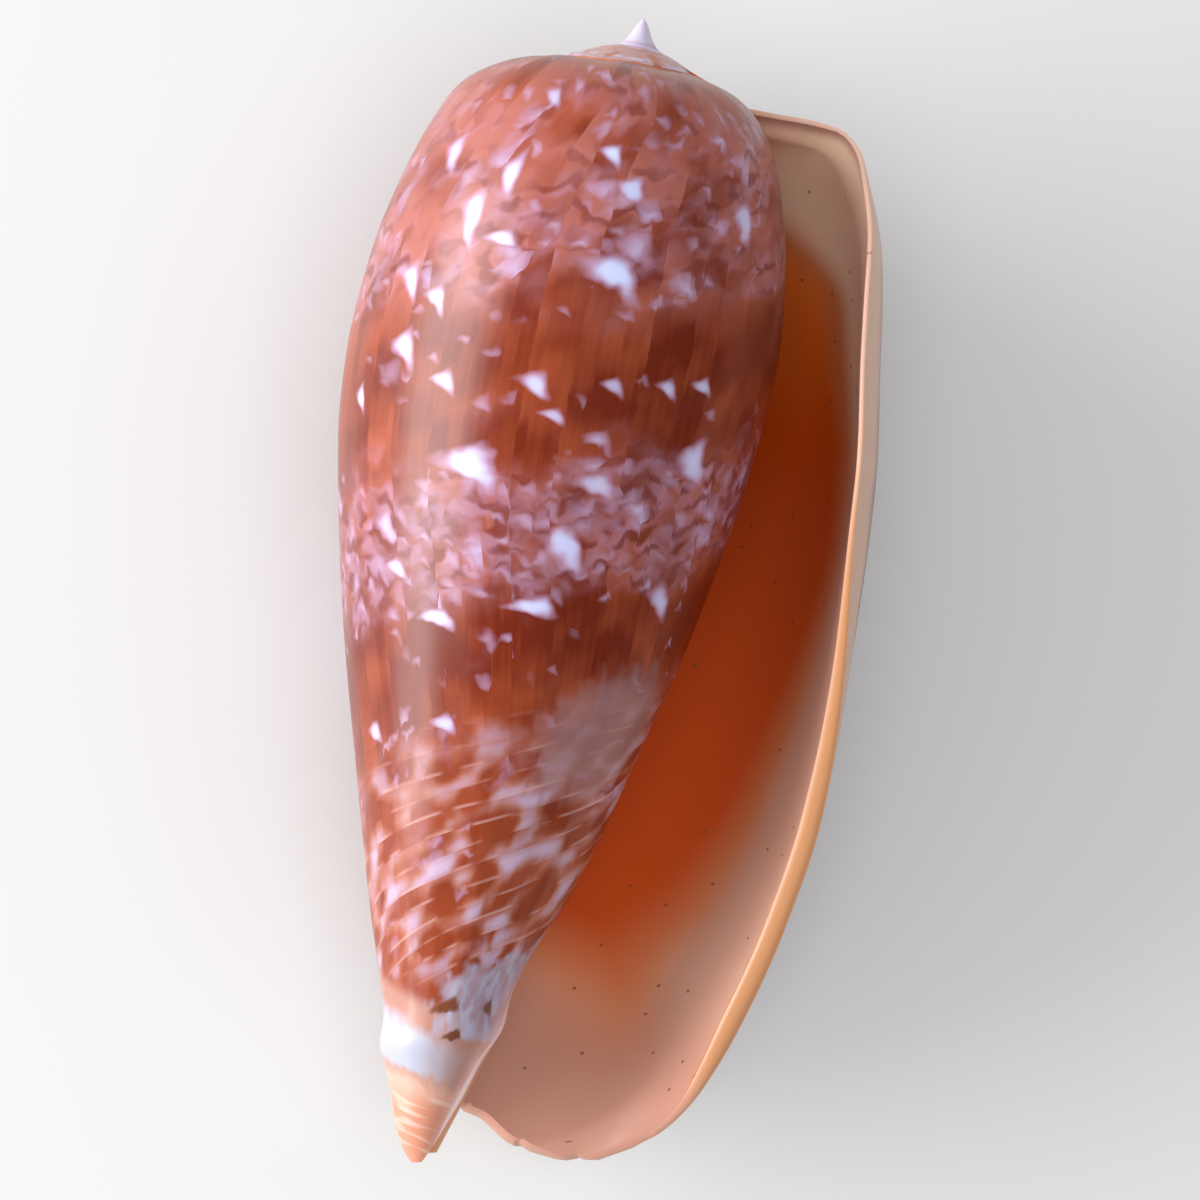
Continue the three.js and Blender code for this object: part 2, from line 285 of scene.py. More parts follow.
class Sheet:
    """Points, faces and point values of a growing mesh."""

    def __init__(self):
        self.points = []
        self.faces = []
        self.values = []
        self.count = 0

    def add(self, points, **values):
        """Adds a block of points and returns their numbers in the block's shape."""
        shape = points.shape[:-1]
        numbers = self.count + np.arange(np.prod(shape)).reshape(shape)
        self.points.append(points.reshape(-1, 3))
        self.values.append({name: flat_values(value, shape) for name, value in values.items()})
        self.count += numbers.size
        return numbers

    def weave(self, numbers, closed=False, flip=False):
        """Covers a grid of point numbers with quads."""
        if closed:
            numbers = np.concatenate([numbers, numbers[:, :1]], axis=1)
        corners = [numbers[:-1, :-1], numbers[1:, :-1], numbers[1:, 1:], numbers[:-1, 1:]]
        quads = np.stack([corner.ravel() for corner in corners], axis=-1)
        self.faces.extend((quads[:, ::-1] if flip else quads).tolist())

    def fan(self, centre, ring):
        self.faces.extend([centre, int(a), int(b)] for a, b in zip(ring, np.roll(ring, -1)))

    def build(self, name):
        mesh = bpy.data.meshes.new(name)
        mesh.from_pydata(np.concatenate(self.points) * MM, [], self.faces)
        for key in self.values[0]:
            values = np.concatenate([block[key] for block in self.values]).astype(np.float32)
            kind, field = ("FLOAT", "value") if values.ndim == 1 else ("FLOAT_VECTOR", "vector")
            mesh.attributes.new(key, kind, "POINT").data.foreach_set(field, values.ravel())
        mesh.validate()
        piece = bpy.data.objects.new(name, mesh)
        bpy.context.scene.collection.objects.link(piece)
        return piece


def growth_place(turn, level):
    """How far along its spiral line a point lies, in millimetres, and which line that is."""
    flank = np.minimum(level, CROWN_LEVEL)
    return (turn - lip_turn(flank) + lip_turn(45.0)) * GROWTH_RADIUS, spiral_level(turn, level)


def turn_seen_at(across, level):
    """The turn of the surface that shows, from the front, this far to the right of the axis."""
    turn = np.array(0.0)
    for _ in range(30):
        turn = -np.arcsin(np.clip(across / surface(turn, level)[0], -0.999, 0.999))
    return turn


def tent_layers(turn, level):
    """Each point's place in the large tents near it.

    A tent's place runs from -0.5 at its straight edge to 0.5 at its apex, and from -0.5 to
    0.5 across it. A layer holds only tents that stand well apart.
    """
    growth, spiral = growth_place(turn, level)
    layers = [np.full(growth.shape + (3,), (0.0, 9.0, 0.0)) for _ in range(TENT_LAYERS)]
    taken = [np.zeros(growth.shape, bool) for _ in range(TENT_LAYERS)]
    for right, height, length, width, brightness in LARGE_TENTS + DARK_SPOTS:
        tent_level = np.array(height)
        tent_turn = turn_seen_at(right, tent_level)
        middle, line = growth_place(tent_turn, tent_level)
        scale = float(surface(tent_turn, tent_level)[0]) / GROWTH_RADIUS
        along = (growth - middle) * scale / length
        across = (spiral - line) / width
        room = np.minimum((0.5 - np.abs(along)) * length, (0.5 - np.abs(across)) * width) + 1.5
        near = room > 0
        strength = brightness * smooth_step(room, 0.7, 1.0)
        for layer, used in zip(layers, taken):
            if not (used & near).any():
                layer[near] = np.stack([along, across, strength], axis=-1)[near]
                used |= widened(near)
                break
    return layers


def widened(near):
    """The marked points of a grid and their neighbours."""
    wide = near.copy()
    if near.ndim == 2:
        for step in (1, -1):
            for axis in (0, 1):
                wide |= np.roll(wide, step, axis)
    return wide


def point_values(turn, level, lip, inner, radius=None):
    """What the finish reads at each point; lengths are in millimetres.

    inner: 0 outer sheet, 1 inner sheet, 2 spire, 3 inner whorls.
    """
    turn, level = np.broadcast_arrays(turn, level)
    growth, spiral = growth_place(turn, level)
    values = {"growth": growth, "spiral": spiral, "lip": lip, "inner": inner}
    values["fold"] = level + FOLD_SLOPE * turn
    values["turn"] = turn
    values["radius"] = surface(turn, level)[0] if radius is None else radius
    for number, layer in enumerate(tent_layers(turn, level)):
        values[f"tents_{number}"] = layer
    return values


def wall_thickness(turn, edge_turn, points):
    edge = mix(LIP_EDGE_BASE, LIP_EDGE_TOP, smooth_step(points[..., 2], 20, 40))
    edge = edge * mix(0.35, 1.0, smooth_step(points[..., 2], 3, 11))
    wall = mix(edge, WALL, smooth_share((edge_turn - turn) / LIP_TAPER))
    return np.minimum(wall, np.hypot(points[..., 0], points[..., 1]) * THICKEST_SHARE)


def margin_nicks(turn):
    """Small chips out of the thin lower margin, by turn."""
    chips = np.maximum(0, np.sin(turn * 23) + np.sin(turn * 41 + 1) - 0.9)
    return 0.16 * chips * smooth_step(turn, 2.6, 3.0)


def coiled_wall(columns, rows):
    """The coiled wall: an outer and an inner sheet, joined by a rounded rim."""
    share = np.linspace(0, 1, rows + 1)[:, None]
    share = mix(share, smooth_share(share), 0.5)
    across = np.linspace(0, 1, columns + 1)[None, :] ** 1.12
    edge_turn = lip_turn(mix(SUTURE_LEVEL, LIP_FOOT_LEVEL, share))
    turn = mix(edge_turn, WALL_START, across)
    level = mix(SUTURE_LEVEL, margin_height(turn) + margin_nicks(turn), share)
    points = outer_points(turn, level)
    normals = outward_normals(turn, level)
    radius = np.hypot(points[..., 0], points[..., 1])
    thickness = wall_thickness(turn, edge_turn, points)[..., None]
    outer = points + normals * relief(turn, level)[..., None]
    inner = points - normals * thickness
    lip = (edge_turn - turn) * np.maximum(radius, 4)
    lip = np.minimum(lip, np.where(turn > 1.5, (level - margin_height(turn)), 99))
    sheet = Sheet()
    outside = sheet.add(outer, **point_values(turn, level, lip, 0.0))
    inside = sheet.add(inner, **point_values(turn, level, lip, 1.0))
    sheet.weave(outside)
    sheet.weave(inside, flip=True)
    add_rim(sheet, outer, inner, outside, inside, turn, level)
    return sheet


def add_rim(sheet, outer, inner, outside, inside, turn, level):
    """Joins both sheets round their border by a band with a rounded section."""
    def border(grid):
        return np.concatenate([grid[0, :-1], grid[:-1, -1], grid[-1, :0:-1], grid[:0:-1, 0]])

    def next_in(grid):
        return np.concatenate([grid[1, :-1], grid[:-1, -2], grid[-2, :0:-1], grid[:0:-1, 1]])

    rim_out, rim_in = border(outer), border(inner)
    outwards = rim_out - next_in(outer)
    outwards /= np.linalg.norm(outwards, axis=-1, keepdims=True) + 1e-9
    thickness = np.linalg.norm(rim_out - rim_in, axis=-1, keepdims=True)
    rings = [border(outside)]
    for across in (0.12, 0.35, 0.65, 0.88):
        bulge = outwards * thickness * 0.22 * math.sin(math.pi * across) ** 0.6
        ring = mix(rim_out, rim_in, across) + bulge
        rings.append(sheet.add(ring, **point_values(border(turn), border(level), 0.0, across)))
    rings.append(border(inside))
    sheet.weave(np.stack(rings), closed=True, flip=True)


def core(sides, rows, spire_rows):
    """The solid core: the spire, the inner whorls and the tongue."""
    turn = HOLLOW_END - FULL_TURN + FULL_TURN * np.arange(sides)[None, :] / sides
    sheet = Sheet()
    rim = suture_radius(np.where(turn < SUTURE_SWITCH, turn + FULL_TURN, turn)) + 0.12
    radius = rim * ((np.arange(spire_rows)[:, None] + 1) / spire_rows) ** 1.3
    whorl_turn = np.where(turn < SUTURE_SWITCH, turn + FULL_TURN, turn)
    spire = polar(radius, turn + 0 * radius, spire_height(radius) + spire_relief(radius, whorl_turn))
    spire_numbers = sheet.add(spire, **point_values(turn, 61.0 + 0 * radius, 90.0, 2.0, radius + 0 * turn))
    share = (np.arange(rows)[:, None] + 0.35) / (rows - 0.65)
    level = mix(60.4, CORE_FOOT + 0.15, share)
    earlier_radius, earlier_height = surface(turn, level)
    later_radius, later_height = surface(turn + FULL_TURN, level)
    closed = 1 - smooth_share((turn - WALL_START + 0.3) / HOLLOW_CLOSING)
    whorl = mix(earlier_radius, later_radius, closed)
    cover = np.minimum(WALL, whorl * THICKEST_SHARE) * CORE_COVER
    whorl = whorl - cover
    height = mix(earlier_height, later_height, closed) - np.where(level > CROWN_LEVEL, cover, 0)
    pillar = PILLAR_FOOT_RADIUS + PILLAR_SLOPE * np.minimum(height, 8)
    margin = margin_height(turn) + 0.7
    covered = smooth_step(height, margin, margin + 1.5)
    whorl = mix(pillar, np.maximum(whorl, pillar / 2), covered)
    body = polar(whorl, turn + 0 * whorl, height)
    body_numbers = sheet.add(body, **point_values(turn, level, 90.0, 3.0))
    sheet.weave(np.concatenate([spire_numbers, body_numbers]), closed=True)
    tip = point_values(np.zeros(1), np.full(1, 61.0), 90.0, 2.0, np.zeros(1))
    apex = sheet.add(np.array([[0, 0, SHELL_LENGTH]]), **tip)
    foot = sheet.add(np.array([[0.25, 0, CORE_FOOT]]), **point_values(np.zeros(1), np.full(1, 0.8), 90.0, 3.0))
    sheet.fan(int(apex[0]), spire_numbers[0])
    sheet.fan(int(foot[0]), body_numbers[-1][::-1])
    return sheet


def spire_relief(radius, turn):
    """Sutures between the spire's whorls, by radius and the last whorl's turn."""
    growth_rate = 0.0905
    last, here = np.log(np.maximum(suture_radius(turn), 0.1)), np.log(np.maximum(radius, 0.05))
    whorls = (last - here) / (growth_rate * FULL_TURN)
    place = whorls - np.floor(whorls)
    groove = -0.12 * np.exp(-((np.minimum(place, 1 - place) / 0.08) ** 2))
    return groove * smooth_step(radius, 0.5, 1.3)


def rest_pose():
    """The turn from the shell's own frame to how it lies: on its back, mouth up."""
    pose = Matrix.Rotation(-REST_PITCH, 4, "X") @ Matrix.Rotation(REST_ROLL, 4, "Y")
    return pose @ Matrix.Rotation(-RIGHT_ANGLE, 4, "X")


def lay_down(mesh):
    """Lays the shell on its back in the frame's place, with its flat on the ground."""
    mesh.transform(rest_pose())
    points = np.empty(len(mesh.vertices) * 3, np.float32)
    mesh.vertices.foreach_get("co", points)
    points = points.reshape(-1, 3)
    low, high = (np.array(corner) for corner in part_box("cone_shell"))
    points[:, :2] += (low + high)[:2] / 2 - (points.min(axis=0) + points.max(axis=0))[:2] / 2
    points[:, 2] += low[2] - points[:, 2].min() - REST_FLAT_DEPTH * MM
    points[:, 2] = np.maximum(points[:, 2], low[2])
    mesh.vertices.foreach_set("co", points.ravel())
    mesh.update()


def join_solids(piece, other):
    """Joins two closed meshes into one and removes what lies inside."""
    join = piece.modifiers.new("join", "BOOLEAN")
    join.operation = "UNION"
    join.solver = "MANIFOLD"
    join.object = other
    evaluated = piece.evaluated_get(bpy.context.evaluated_depsgraph_get())
    joined = bpy.data.meshes.new_from_object(evaluated)
    piece.modifiers.clear()
    piece.data = joined
    bpy.data.objects.remove(other)


def build_shell(sizes):
    shell = coiled_wall(sizes.columns, sizes.rows).build("cone_shell_finish")
    pillar = core(sizes.columns // 2, sizes.rows, sizes.rows // 4).build("core")
    join_solids(shell, pillar)
    lay_down(shell.data)
    shell.data.materials.clear()
    shell.data.materials.append(shell_material())
    shell.data.shade_smooth()
    shell.data.set_sharp_from_angle(angle=math.radians(38))
    return shell


# ---------------------------------------------------------------------------- finish

# Colours, as linear red, green and blue.
CHESTNUT = (0.15, 0.014, 0.002)
RUST = (0.31, 0.056, 0.016)
MAUVE = (0.4, 0.13, 0.11)
HAZE = (0.42, 0.17, 0.18)
LILAC = (0.45, 0.28, 0.44)
TENT_WHITE = (0.58, 0.64, 0.96)
SLATE = (0.30, 0.17, 0.18)
FOLD_WHITE = (0.42, 0.46, 0.58)
TONGUE = (0.56, 0.23, 0.15)
CREAM = (0.66, 0.46, 0.38)
RIDGE_PINK = (0.74, 0.42, 0.38)
SPOT = (0.16, 0.05, 0.02)
LIP_TAN = (0.54, 0.25, 0.115)
LIP_PALE = (0.72, 0.42, 0.31)
# Deep lining colour: the lining's own orange, darkened and saturated as painted shade and painted glow deep in
# the mouth.
MOUTH_DEEP_GLOW = (0.62, 0.075, 0.002)
BASE_CLOUD = (0.46, 0.19, 0.14)
BASE_PATCH = (0.5, 0.4, 0.58)
# Pale pink line of the base's cords: painted highlight on their raised tops.
CORD_HIGHLIGHT_PINK = (0.6, 0.36, 0.34)
FOLD_BROWN = (0.46, 0.25, 0.2)
FOLD_GREY = (0.36, 0.34, 0.45)
RIDGE_LINE = (0.8, 0.58, 0.58)
RIDGE_SHADE = (0.52, 0.19, 0.09)
SPIRE_PALE = (0.6, 0.53, 0.7)
SPIRE_ORANGE = (0.42, 0.14, 0.06)
NEW_STRIP = (0.62, 0.36, 0.24)
GLAZE = (0.5, 0.13, 0.04)
# Brighter top of the deep lining: painted light in the upper mouth.
MOUTH_TOP_LIT = (0.9, 0.22, 0.03)
MOUTH_ORANGE = (0.7, 0.24, 0.1)
MOUTH_DOT = (0.18, 0.07, 0.03)
# Cream of the upper lining, made brighter as painted light in the upper mouth.
LIP_CREAM_LIT = (1.0, 0.72, 0.52)
LIP_FOOT = (0.54, 0.27, 0.2)
LIP_EDGE = (0.66, 0.4, 0.31)
# Pale line on the lip's rim: painted highlight.
RIM_HIGHLIGHT = (0.66, 0.42, 0.31)
FOOT_ORANGE = (0.6, 0.26, 0.13)
FOOT_EDGE = (0.5, 0.25, 0.14)
FLOOR_GREY = (0.69, 0.7, 0.705)

# Shares that change from the foot to the spire: height of the spiral line, and share.
GRADE_TOP = 64.0
GROUND_TONE = [
    (8, 0.7), (18, 0.6), (24, 0.45), (27, 0.2), (31, 0.2), (34, 0.45), (38, 0.4), (42, 0.25),
    (46, 0.4), (50, 0.65), (56, 0.95), (60, 0.95),
]
CROWN_MAUVE = [(44, 0.0), (49, 0.6), (56, 0.7), (60, 0.1)]
TENT_DENSITY = [
    (10, 0.3), (14, 0.3), (19, 0.5), (23, 0.45), (25.5, 0.15), (29.5, 0.15), (31, 0.6),
    (33, 0.9), (36.5, 0.8), (38.5, 0.35), (42, 0.14), (45, 0.25), (47.5, 0.55),
    (51, 0.55), (55, 0.5), (58, 0.42), (61, 0.2),
]

# Where the lining's pale colour ends and where its deep colour starts: level, and share of
# LINING_REACH from the lip's edge.
LINING_START = [
    (4, 0.12), (12, 0.24), (20, 0.26), (30, 0.3), (42, 0.27), (50, 0.33), (55, 0.5), (60, 0.8),
]
LINING_END = [
    (4, 0.55), (12, 0.5), (20, 0.48), (30, 0.48), (42, 0.48), (50, 0.58), (55, 0.8), (60, 1.0),
]


class Wire:
    """A value in a material: arithmetic on it adds the nodes that work it out."""

    def __init__(self, finish, socket):
        self.finish = finish
        self.socket = socket

    def __add__(self, other):
        return self.finish.math("ADD", self, other)

    def __radd__(self, other):
        return self.finish.math("ADD", other, self)

    def __sub__(self, other):
        return self.finish.math("SUBTRACT", self, other)

    def __rsub__(self, other):
        return self.finish.math("SUBTRACT", other, self)

    def __mul__(self, other):
        return self.finish.math("MULTIPLY", self, other)

    def __rmul__(self, other):
        return self.finish.math("MULTIPLY", other, self)

    def __truediv__(self, other):
        return self.finish.math("DIVIDE", self, other)

    def __rtruediv__(self, other):
        return self.finish.math("DIVIDE", other, self)

    def __neg__(self):
        return self.finish.math("MULTIPLY", self, -1.0)

    def __abs__(self):
        return self.finish.math("ABSOLUTE", self)


class Finish:
    """A material under construction."""

    def __init__(self, name):
        self.material = bpy.data.materials.new(name)
        self.material.use_nodes = True
        self.tree = self.material.node_tree
        self.tree.nodes.clear()

    def node(self, kind, settings=None, inputs=None, output=0):
        """Adds a node: its settings first, then its inputs' values or links."""
        node = self.tree.nodes.new(kind)
        for name, value in (settings or {}).items():
            setattr(node, name, value)
        for name, value in (inputs or {}).items():
            if isinstance(value, Wire):
                self.tree.links.new(value.socket, node.inputs[name])
            else:
                node.inputs[name].default_value = value
        return Wire(self, node.outputs[output]) if node.outputs else None

    def math(self, operation, *values):
        return self.node("ShaderNodeMath", {"operation": operation}, dict(enumerate(values)))

    def attribute(self, name):
        return self.node("ShaderNodeAttribute", {"attribute_name": name}, output="Fac")

    def vector_attribute(self, name):
        return self.split(self.node("ShaderNodeAttribute", {"attribute_name": name}, output="Vector"))

    def split(self, vector):
        separate = self.node("ShaderNodeSeparateXYZ", inputs={0: vector}).socket.node
        return [Wire(self, output) for output in separate.outputs]

    def point(self, x, y, z=0.0):
        return self.node("ShaderNodeCombineXYZ", inputs={0: x, 1: y, 2: z})

    def least(self, a, b):
        return self.math("MINIMUM", a, b)

    def most(self, a, b):
        return self.math("MAXIMUM", a, b)

    def step(self, value, low, high):
        """0 below low, 1 above high and a smooth rise between."""
        inputs = {"Value": value, "From Min": low, "From Max": high}
        return self.node("ShaderNodeMapRange", {"interpolation_type": "SMOOTHSTEP"}, inputs)

    def fall(self, value, low, high):
        """1 below low, 0 above high and a smooth fall between."""
        return 1.0 - self.step(value, low, high)

    def between(self, value, low, high, soft):
        return self.step(value, low - soft, low + soft) * self.fall(value, high - soft, high + soft)

    def noise(self, x, y, seed, detail=1.0, rough=0.5):
        """Smooth noise between 0 and 1 with features about one unit long."""
        inputs = {"Vector": self.point(x + 37.3 * seed, y + 11.9 * seed), "Scale": 1.0, "Detail": detail,
                  "Roughness": rough}
        return self.node("ShaderNodeTexNoise", {"noise_dimensions": "2D"}, inputs)

    def blend(self, a, b, share):
        """Colour a, with a share of colour b."""
        settings = {"data_type": "RGBA", "blend_type": "MIX", "clamp_factor": True}
        return self.node("ShaderNodeMix", settings, {0: share, 6: solid(a), 7: solid(b)}, output=2)

    def polished(self, colour, polish):
        """The shell's material in one colour, under a thin polish."""
        inputs = {"Base Color": colour, "Roughness": 0.38, "Specular IOR Level": 0.2,
                  "Coat Weight": polish, "Coat Roughness": 0.3}
        return self.node("ShaderNodeBsdfPrincipled", inputs=inputs)

    def graded(self, value, stops):
        """A value that runs straight from each stop, given as (at, value), to the next."""
        ramp = self.node("ShaderNodeValToRGB", inputs={0: value / GRADE_TOP})
        elements = ramp.socket.node.color_ramp.elements
        while len(elements) < len(stops):
            elements.new(0.5)
        for element, (at, level) in zip(elements, stops):
            element.position = at / GRADE_TOP
            element.color = (level, level, level, 1.0)
        return ramp


def solid(colour):
    return colour if isinstance(colour, Wire) else (*colour, 1.0)


def tent_shape(make, along, across):
    """How far inside a tent a place is: a soft triangle with rounded corners.

    The straight edge leans over at -0.5, the apex is at 0.6 and the lower corner is drawn out.
    """
    lean = across - 0.16 * (along + 0.5)
    reach = 0.55 * (0.72 - along)
    straight = make.most(along + 0.62 - 0.28 * across, 0.0)
    return 9.0 * straight * make.most(reach - lean, 0.0) * make.most(reach + lean, 0.0) - 0.2


def scattered_tents(make, growth, spiral, cell_size, density, rough, seed):
    """Tents thrown over the surface, one to a cell, more and larger where density is high."""
    x = growth / cell_size[0] + 17.3 * seed
    y = spiral / cell_size[1] + 5.1 * seed
    settings = {"voronoi_dimensions": "2D", "feature": "F1"}
    inputs = {"Vector": make.point(x, y), "Scale": 1.0, "Randomness": 0.8}
    cell = make.node("ShaderNodeTexVoronoi", settings, inputs)
    cell_node = cell.socket.node
    centre_x, centre_y, _ = make.split(Wire(make, cell_node.outputs["Position"]))
    chance, vary, _ = make.split(Wire(make, cell_node.outputs["Color"]))
    size = 0.5 + 0.6 * vary * (0.4 + density)
    shape = tent_shape(make, (x - centre_x) / size, (y - centre_y) / size) + rough
    there = make.step(density - chance, -0.04, 0.1)
    return (shape + 0.3) * there - 0.3


def growth_columns(make, growth, width, seed):
    """A random number for each column of growth."""
    settings = {"voronoi_dimensions": "1D", "feature": "F1"}
    inputs = {"W": growth / width + 9.7 * seed, "Scale": 1.0}
    column = make.node("ShaderNodeTexVoronoi", settings, inputs, "Color")
    return make.split(column)[0]


class Place:
    """Where a shaded point lies on the shell, and how its growth's markings waver there."""

    def __init__(self, make):
        self.growth = make.attribute("growth")
        self.spiral = make.attribute("spiral")
        self.lip = make.attribute("lip")
        self.inner = make.attribute("inner")
        self.fold = make.attribute("fold")
        self.turn = make.attribute("turn")
        self.radius = make.attribute("radius")
        self.level = self.fold - FOLD_SLOPE * self.turn
        self.waver_along = make.noise(self.growth * 0.8, self.spiral * 0.8, 1, 1.0)
        self.waver_across = make.noise(self.growth * 0.8, self.spiral * 0.8, 2, 1.0)
        self.wavy_growth = self.growth + (self.waver_along - 0.5)
        self.base_share = make.fall(self.spiral + 1.5 * (self.waver_along - 0.5), 20.0, 26.0)
        self.flank_share = 1.0 - self.base_share
        # Each column of growth sets its markings a little higher or lower.
        self.wide_column = growth_columns(make, self.growth + 0.3 * self.waver_along, 2.4, 6.4)
        self.narrow_column = growth_columns(make, self.growth, 0.9, 7.9)
        slip = 0.9 * (self.wide_column - 0.5) + 0.3 * (self.narrow_column - 0.5)
        self.wavy_spiral = self.spiral + (self.waver_across - 0.5) + slip * self.flank_share
        self.mottle = make.noise(self.wavy_growth * 0.7, self.wavy_spiral * 0.95, 9, 1.0, 0.4)


def ground_colour(make, at):
    """The brown ground: blocks between rests in the growth, clouds and fine streaks."""
    streaks = make.noise(at.growth * 3.2, at.spiral * 0.10, 3, 1.0)
    blocks = make.noise(at.wide_column * 60.0, at.spiral / 4.0, 4, 0.0)
    slips = make.noise(at.narrow_column * 60.0, at.spiral / 2.2, 5, 0.0)
    clouds = make.noise(at.wavy_growth * 0.28, at.wavy_spiral * 0.4, 6, 1.0)
    calm = 1.0 - 0.6 * at.base_share
    uneven = 0.4 * (streaks - 0.5) + 1.3 * (blocks - 0.5) + 0.7 * (slips - 0.5)
    tone = make.graded(at.spiral, GROUND_TONE) + calm * uneven + 0.8 * (clouds - 0.5)
    ground = make.blend(CHESTNUT, RUST, tone)
    crown = make.graded(at.spiral, CROWN_MAUVE) * make.step(blocks + clouds, 0.7, 1.2)
    return make.blend(ground, MAUVE, crown)


def large_tents(make, at, pale, bright):
    """Adds the front's large tents to the pale and bright shares; also gives the dark spots."""
    dark = 0.0
    for number in range(TENT_LAYERS):
        along, across, strength = make.vector_attribute(f"tents_{number}")
        along = (along + 0.35 * (at.waver_along - 0.5)) * TENT_SPREAD
        across = (across + 0.35 * (at.waver_across - 0.5)) * TENT_SPREAD
        shape = tent_shape(make, along, across) + 0.2 * (at.mottle - 0.5)
        pale = make.most(pale, make.step(shape, -0.2, 0.45) * make.least(strength * 1.3, 1.0))
        bright = make.most(bright, make.step(shape, 0.2, 0.8) * strength)
        dark = make.most(dark, make.step(shape, -0.1, 0.55) * -strength)
    return pale, bright, dark


def flank_markings(make, at, colour):
    """Mottled haze, specks and tents over the ground; also gives the share of dark spots."""
    patchy = make.noise(at.wavy_growth * 0.22, at.wavy_spiral * 0.3, 8, 1.0)
    density = make.graded(at.spiral, TENT_DENSITY) + 0.7 * (patchy - 0.5)
    specks = make.noise(at.wavy_growth * 0.75, at.wavy_spiral * 1.35, 22, 0.0)
    rough = 0.6 * (at.mottle - 0.5)
    along = at.growth / (1.0 + at.base_share)
    small_density = density * (0.85 - 0.5 * at.base_share)
    small = scattered_tents(make, along, at.wavy_spiral, SMALL_TENT, small_density, rough, 1.0)
    middle = scattered_tents(make, along, at.wavy_spiral, MIDDLE_TENT, density * 0.6 - 0.05, rough, 2.0)
    crowded = make.step(density, 0.25, 0.75)
    haze = make.step(at.mottle + 0.25 * (density - 0.5), 0.36, 0.8) * crowded * (1.0 - 0.5 * at.base_share)
    pale = make.most(make.step(small, -0.15, 1.1) * 0.75, make.step(middle, -0.2, 0.8) * 0.9)
    bright = make.most(make.step(small, 0.6, 1.6) * 0.5, make.step(middle, 0.5, 1.3) * 0.8)
    pale, bright, dark = large_tents(make, at, pale, bright)
    colour = make.blend(colour, HAZE, crowded * 0.25 * at.flank_share)
    colour = make.blend(colour, LILAC, haze * 0.34)
    colour = make.blend(colour, CHESTNUT, make.step(specks, 0.48, 0.76) * crowded * at.flank_share * 0.7)
    colour = make.blend(colour, LILAC, pale * 0.74)
    return make.blend(colour, TENT_WHITE, bright), dark


def base_markings(make, at, colour):
    """Patches of the base, drawn out between its raised cords, with a painted highlight along each cord."""
    cord = at.spiral / CORD_SPACING + 0.5 * make.noise(at.growth * 0.1, at.spiral * 0.3, 10, 0.0)
    strip = make.math("FLOOR", cord)
    in_strip = make.math("FRACT", cord)
    patch = 0.45 * make.noise(at.growth * 0.32 + strip * 3.7, strip * 7.9, 11, 0.0)
    patch = patch + 0.75 * make.noise(at.growth * 0.3 + 0.5 * at.waver_along, at.spiral * 0.6, 24, 0.0) - 0.1
    base = at.base_share * make.step(at.fold, 9.0, 12.0)
    front = make.fall(abs(at.growth + 3.0), 4.0, 14.0)
    strip_share = make.step(in_strip, 0.0, 0.35) * make.fall(in_strip, 0.6, 1.0)
    patches = make.step(patch + 0.03 * front, 0.54, 0.8) * base * (0.55 + 0.45 * strip_share)
    colour = make.blend(colour, BASE_CLOUD, make.step(patch, 0.4, 0.6) * base * 0.5)
    colour = make.blend(colour, BASE_PATCH, patches * 0.75)
    # Painted highlight: a pale pink line along the top of each cord, which the mesh does not raise.
    cord_highlight = make.fall(abs(in_strip - 0.06), 0.03, 0.15)
    cord_there = make.step(make.noise(at.growth * 0.3, strip * 2.3, 12, 1.0), 0.42, 0.62)
    return make.blend(colour, CORD_HIGHLIGHT_PINK, cord_highlight * cord_there * base * 0.4)


def worn_place(make, at, colour):
    """The greyer, worn place low on the front."""
    along = (at.growth - WORN_GROWTH) / WORN_LENGTH + 0.5 * (at.waver_along - 0.5)
    across = (at.spiral - WORN_SPIRAL) / WORN_WIDTH + 0.5 * (at.waver_across - 0.5)
    return make.blend(colour, SLATE, make.fall(along * along + across * across, 0.3, 1.1) * 0.6)


def fold_markings(make, at, colour, dark):
    """The white fold above the tongue, the grey above it and its dark spots."""
    level, turn = at.level, at.turn
    ragged = 1.6 * (make.noise(at.growth * 0.5, level * 0.9, 13, 1.0) - 0.5)
    band = make.step(level + ragged * 0.4, 4.3 + 0.4 * turn, 5.0 + 0.4 * turn)
    band = band * make.fall(level + ragged * 0.4, 6.2 + 0.8 * turn, 7.4 + 0.8 * turn)
    band = band * make.step(turn, -0.8, 0.6) * 0.85
    grey = make.step(level, 6.9, 7.4) * make.fall(turn + 0.4 * ragged, 0.0, 0.35)
    grey = grey * make.fall(level + 2.0 * turn + 1.2 * ragged, 9.8, 11.0)
    brown = make.fall(level, 7.8 + 0.8 * turn, 8.8 + 0.8 * turn)
    colour = make.blend(colour, FOLD_BROWN, brown * 0.7)
    colour = make.blend(colour, FOLD_GREY, grey * (0.55 + 0.45 * make.step(at.mottle, 0.3, 0.8)))
    colour = make.blend(colour, FOLD_WHITE, band)
    colour = make.blend(colour, SPOT, dark)
    tongue_share = make.fall(level + 0.5 * ragged, 3.6 + 0.4 * turn, 5.0 + 0.4 * turn)
    return make.blend(colour, tongue_colour(make, at), tongue_share)


def tongue_colour(make, at):
    rings = make.noise((at.level - 0.25 * at.turn) * 2.4, at.growth * 0.05, 15, 1.0)
    creamy = make.most(make.step(rings, 0.5, 0.72) * 0.7, make.step(at.level, 2.8, 4.6) * 0.6)
    return make.blend(TONGUE, CREAM, creamy)


